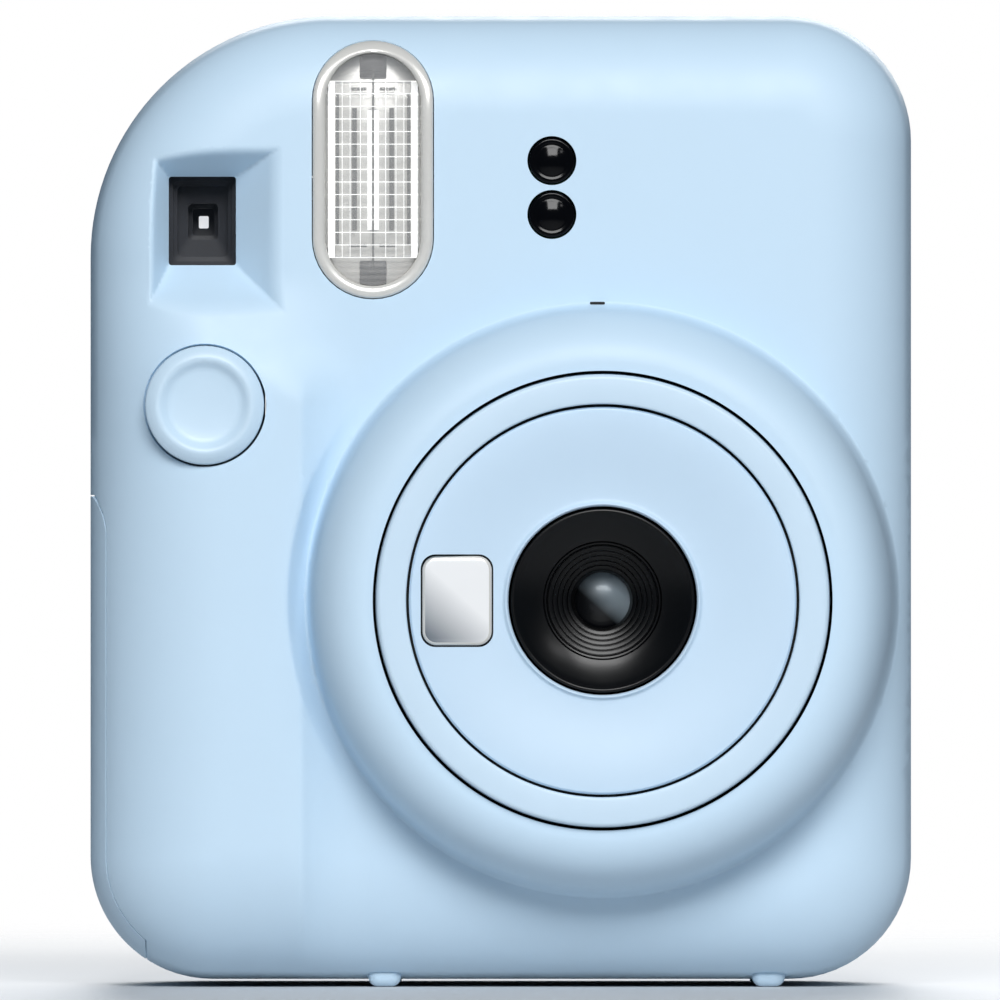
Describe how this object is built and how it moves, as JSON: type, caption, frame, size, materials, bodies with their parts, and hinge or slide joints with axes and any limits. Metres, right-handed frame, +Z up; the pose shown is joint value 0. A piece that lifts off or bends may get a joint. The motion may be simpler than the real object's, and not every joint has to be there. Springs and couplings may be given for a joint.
{
  "type": "instant film camera",
  "caption": "Upright rounded instant film camera with a domed round lens that extends, turning lens ring, selfie mirror, flash, viewfinder, shutter button, film door and film drive.",
  "frame": {"origin": "on the surface that the feet stand on, midway across the width and the depth", "axes": "+Z up along the height, +X to the right of a viewer facing the camera, and the lens looks along -Y"},
  "size_m": [0.104, 0.0666, 0.123],
  "materials": {
    "body_blue": "satin moulded plastic, pale blue",
    "trim_blue": "semi-gloss moulded plastic, pale blue",
    "black_plastic": "matt black moulded plastic",
    "dark_window": "glossy tinted window",
    "optical_glass": "coated optical plastic",
    "clear_window": "clear ribbed window",
    "pearl": "pearl finish",
    "mirror": "polished",
    "bright_metal": "polished reflector",
    "steel": "plain",
    "rubber": "moulded",
    "board": "solder mask green",
    "nylon": "natural",
    "film_black": "moulded black",
    "cell_jacket": "printed jacket, plain"
  },
  "bodies": {
    "camera": {"battery_1": "cell_jacket", "battery_2": "cell_jacket", "battery_contact_lower": "steel", "battery_contact_upper": "steel", "battery_tray": "black_plastic", "button_switch": "black_plastic", "case_screw_1": "steel", "case_screw_2": "steel", "chassis": "black_plastic", "chassis_screw_1": "steel", "chassis_screw_2": "steel", "drive_motor": "steel", "exposure_sensor_window": "dark_window", "film_cartridge": "film_black", "film_stack": "film_black", "flash_capacitor": "black_plastic", "flash_reflector": "bright_metal", "flash_rim": "pearl", "flash_sensor_window": "dark_window", "flash_tube": "optical_glass", "flash_window": "clear_window", "front_cover": "body_blue", "lens_guide": "black_plastic", "light_chamber": "black_plastic", "lock_spring": "steel", "main_board": "board", "rear_body": "body_blue", "roller_bracket_left": "steel", "roller_bracket_right": "steel", "strap_lug_left": "trim_blue", "strap_lug_right": "trim_blue", "viewfinder_eyepiece": "dark_window", "viewfinder_tunnel": "black_plastic", "viewfinder_window": "dark_window"},
    "barrel": {"lens_barrel": "body_blue", "selfie_mirror": "mirror", "lens_hood": "black_plastic", "front_lens": "optical_glass", "rear_lens": "optical_glass", "aperture_plate": "black_plastic", "shutter_solenoid": "steel"},
    "ring": {"lens_ring": "trim_blue"},
    "blade": {"shutter_blade": "black_plastic"},
    "button": {"shutter_button": "body_blue", "button_spring": "steel"},
    "door": {"back_cover": "body_blue", "film_window": "dark_window", "counter_window": "dark_window", "pressure_spring": "steel", "hinge_pin_upper": "steel", "hinge_pin_lower": "steel"},
    "lock": {"back_cover_lock": "trim_blue"},
    "battery_door": {"battery_cover": "body_blue"},
    "claw": {"film_claw": "nylon"},
    "counter": {"counter_disc": "nylon"},
    "drive": {"drive_roller": "steel", "roller_gear": "nylon"},
    "pinch": {"pinch_roller": "rubber"},
    "idler": {"idler_gear": "nylon"},
    "pinion": {"motor_pinion": "nylon"}
  },
  "joints": [
    {"name": "lens_extend", "type": "slide", "parent": "camera", "child": "barrel", "axis": [0, -1, 0], "range_m": [0, 0.012]},
    {"name": "lens_ring_turn", "type": "hinge", "parent": "barrel", "child": "ring", "pos_m": [0.0128, -0.0315, 0.049], "axis": [0, -1, 0], "range_deg": [0, 75]},
    {"name": "shutter_blade_swing", "type": "hinge", "parent": "barrel", "child": "blade", "pos_m": [0.0218, -0.0142, 0.053], "axis": [0, -1, 0], "range_deg": [0, 25], "stiffness_Nm_per_rad": 0.002},
    {"name": "shutter_button_press", "type": "slide", "parent": "camera", "child": "button", "axis": [0, 1, 0], "range_m": [0, 0.0015], "stiffness_N_per_m": 600, "springref_m": -0.001},
    {"name": "back_cover_open", "type": "hinge", "parent": "camera", "child": "door", "pos_m": [0.0482, 0.028, 0.05], "axis": [0, 0, -1], "range_deg": [0, 100]},
    {"name": "back_cover_lock_slide", "type": "slide", "parent": "camera", "child": "lock", "axis": [0, 0, -1], "range_m": [0, 0.003], "stiffness_N_per_m": 300, "springref_m": -0.002},
    {"name": "battery_cover_slide", "type": "slide", "parent": "camera", "child": "battery_door", "axis": [-1, 0, 0], "range_m": [0, 0.03]},
    {"name": "film_claw_slide", "type": "slide", "parent": "camera", "child": "claw", "axis": [0, 0, 1], "range_m": [0, 0.009], "stiffness_N_per_m": 50, "springref_m": -0.004},
    {"name": "counter_disc_turn", "type": "hinge", "parent": "camera", "child": "counter", "pos_m": [-0.0233, 0.0255, 0.02], "axis": [0, 1, 0], "range_deg": [0, 300]},
    {"name": "drive_roller_turn", "type": "hinge", "parent": "camera", "child": "drive", "pos_m": [0.0132, 0.0121, 0.107], "axis": [1, 0, 0], "continuous": true},
    {"name": "pinch_roller_turn", "type": "hinge", "parent": "camera", "child": "pinch", "pos_m": [0.0132, 0.0209, 0.107], "axis": [1, 0, 0], "continuous": true},
    {"name": "idler_gear_turn", "type": "hinge", "parent": "camera", "child": "idler", "pos_m": [-0.0189, 0.00529, 0.10111], "axis": [1, 0, 0], "continuous": true},
    {"name": "motor_pinion_turn", "type": "hinge", "parent": "camera", "child": "pinion", "pos_m": [-0.0189, 0, 0.09653], "axis": [1, 0, 0], "continuous": true}
  ],
  "couplings": [
    {"joint": "lens_ring_turn", "follows": "lens_extend", "rad_per_m": 109},
    {"joint": "pinch_roller_turn", "follows": "drive_roller_turn", "ratio": -1},
    {"joint": "idler_gear_turn", "follows": "drive_roller_turn", "ratio": -1},
    {"joint": "motor_pinion_turn", "follows": "drive_roller_turn", "ratio": 1.8}
  ]
}
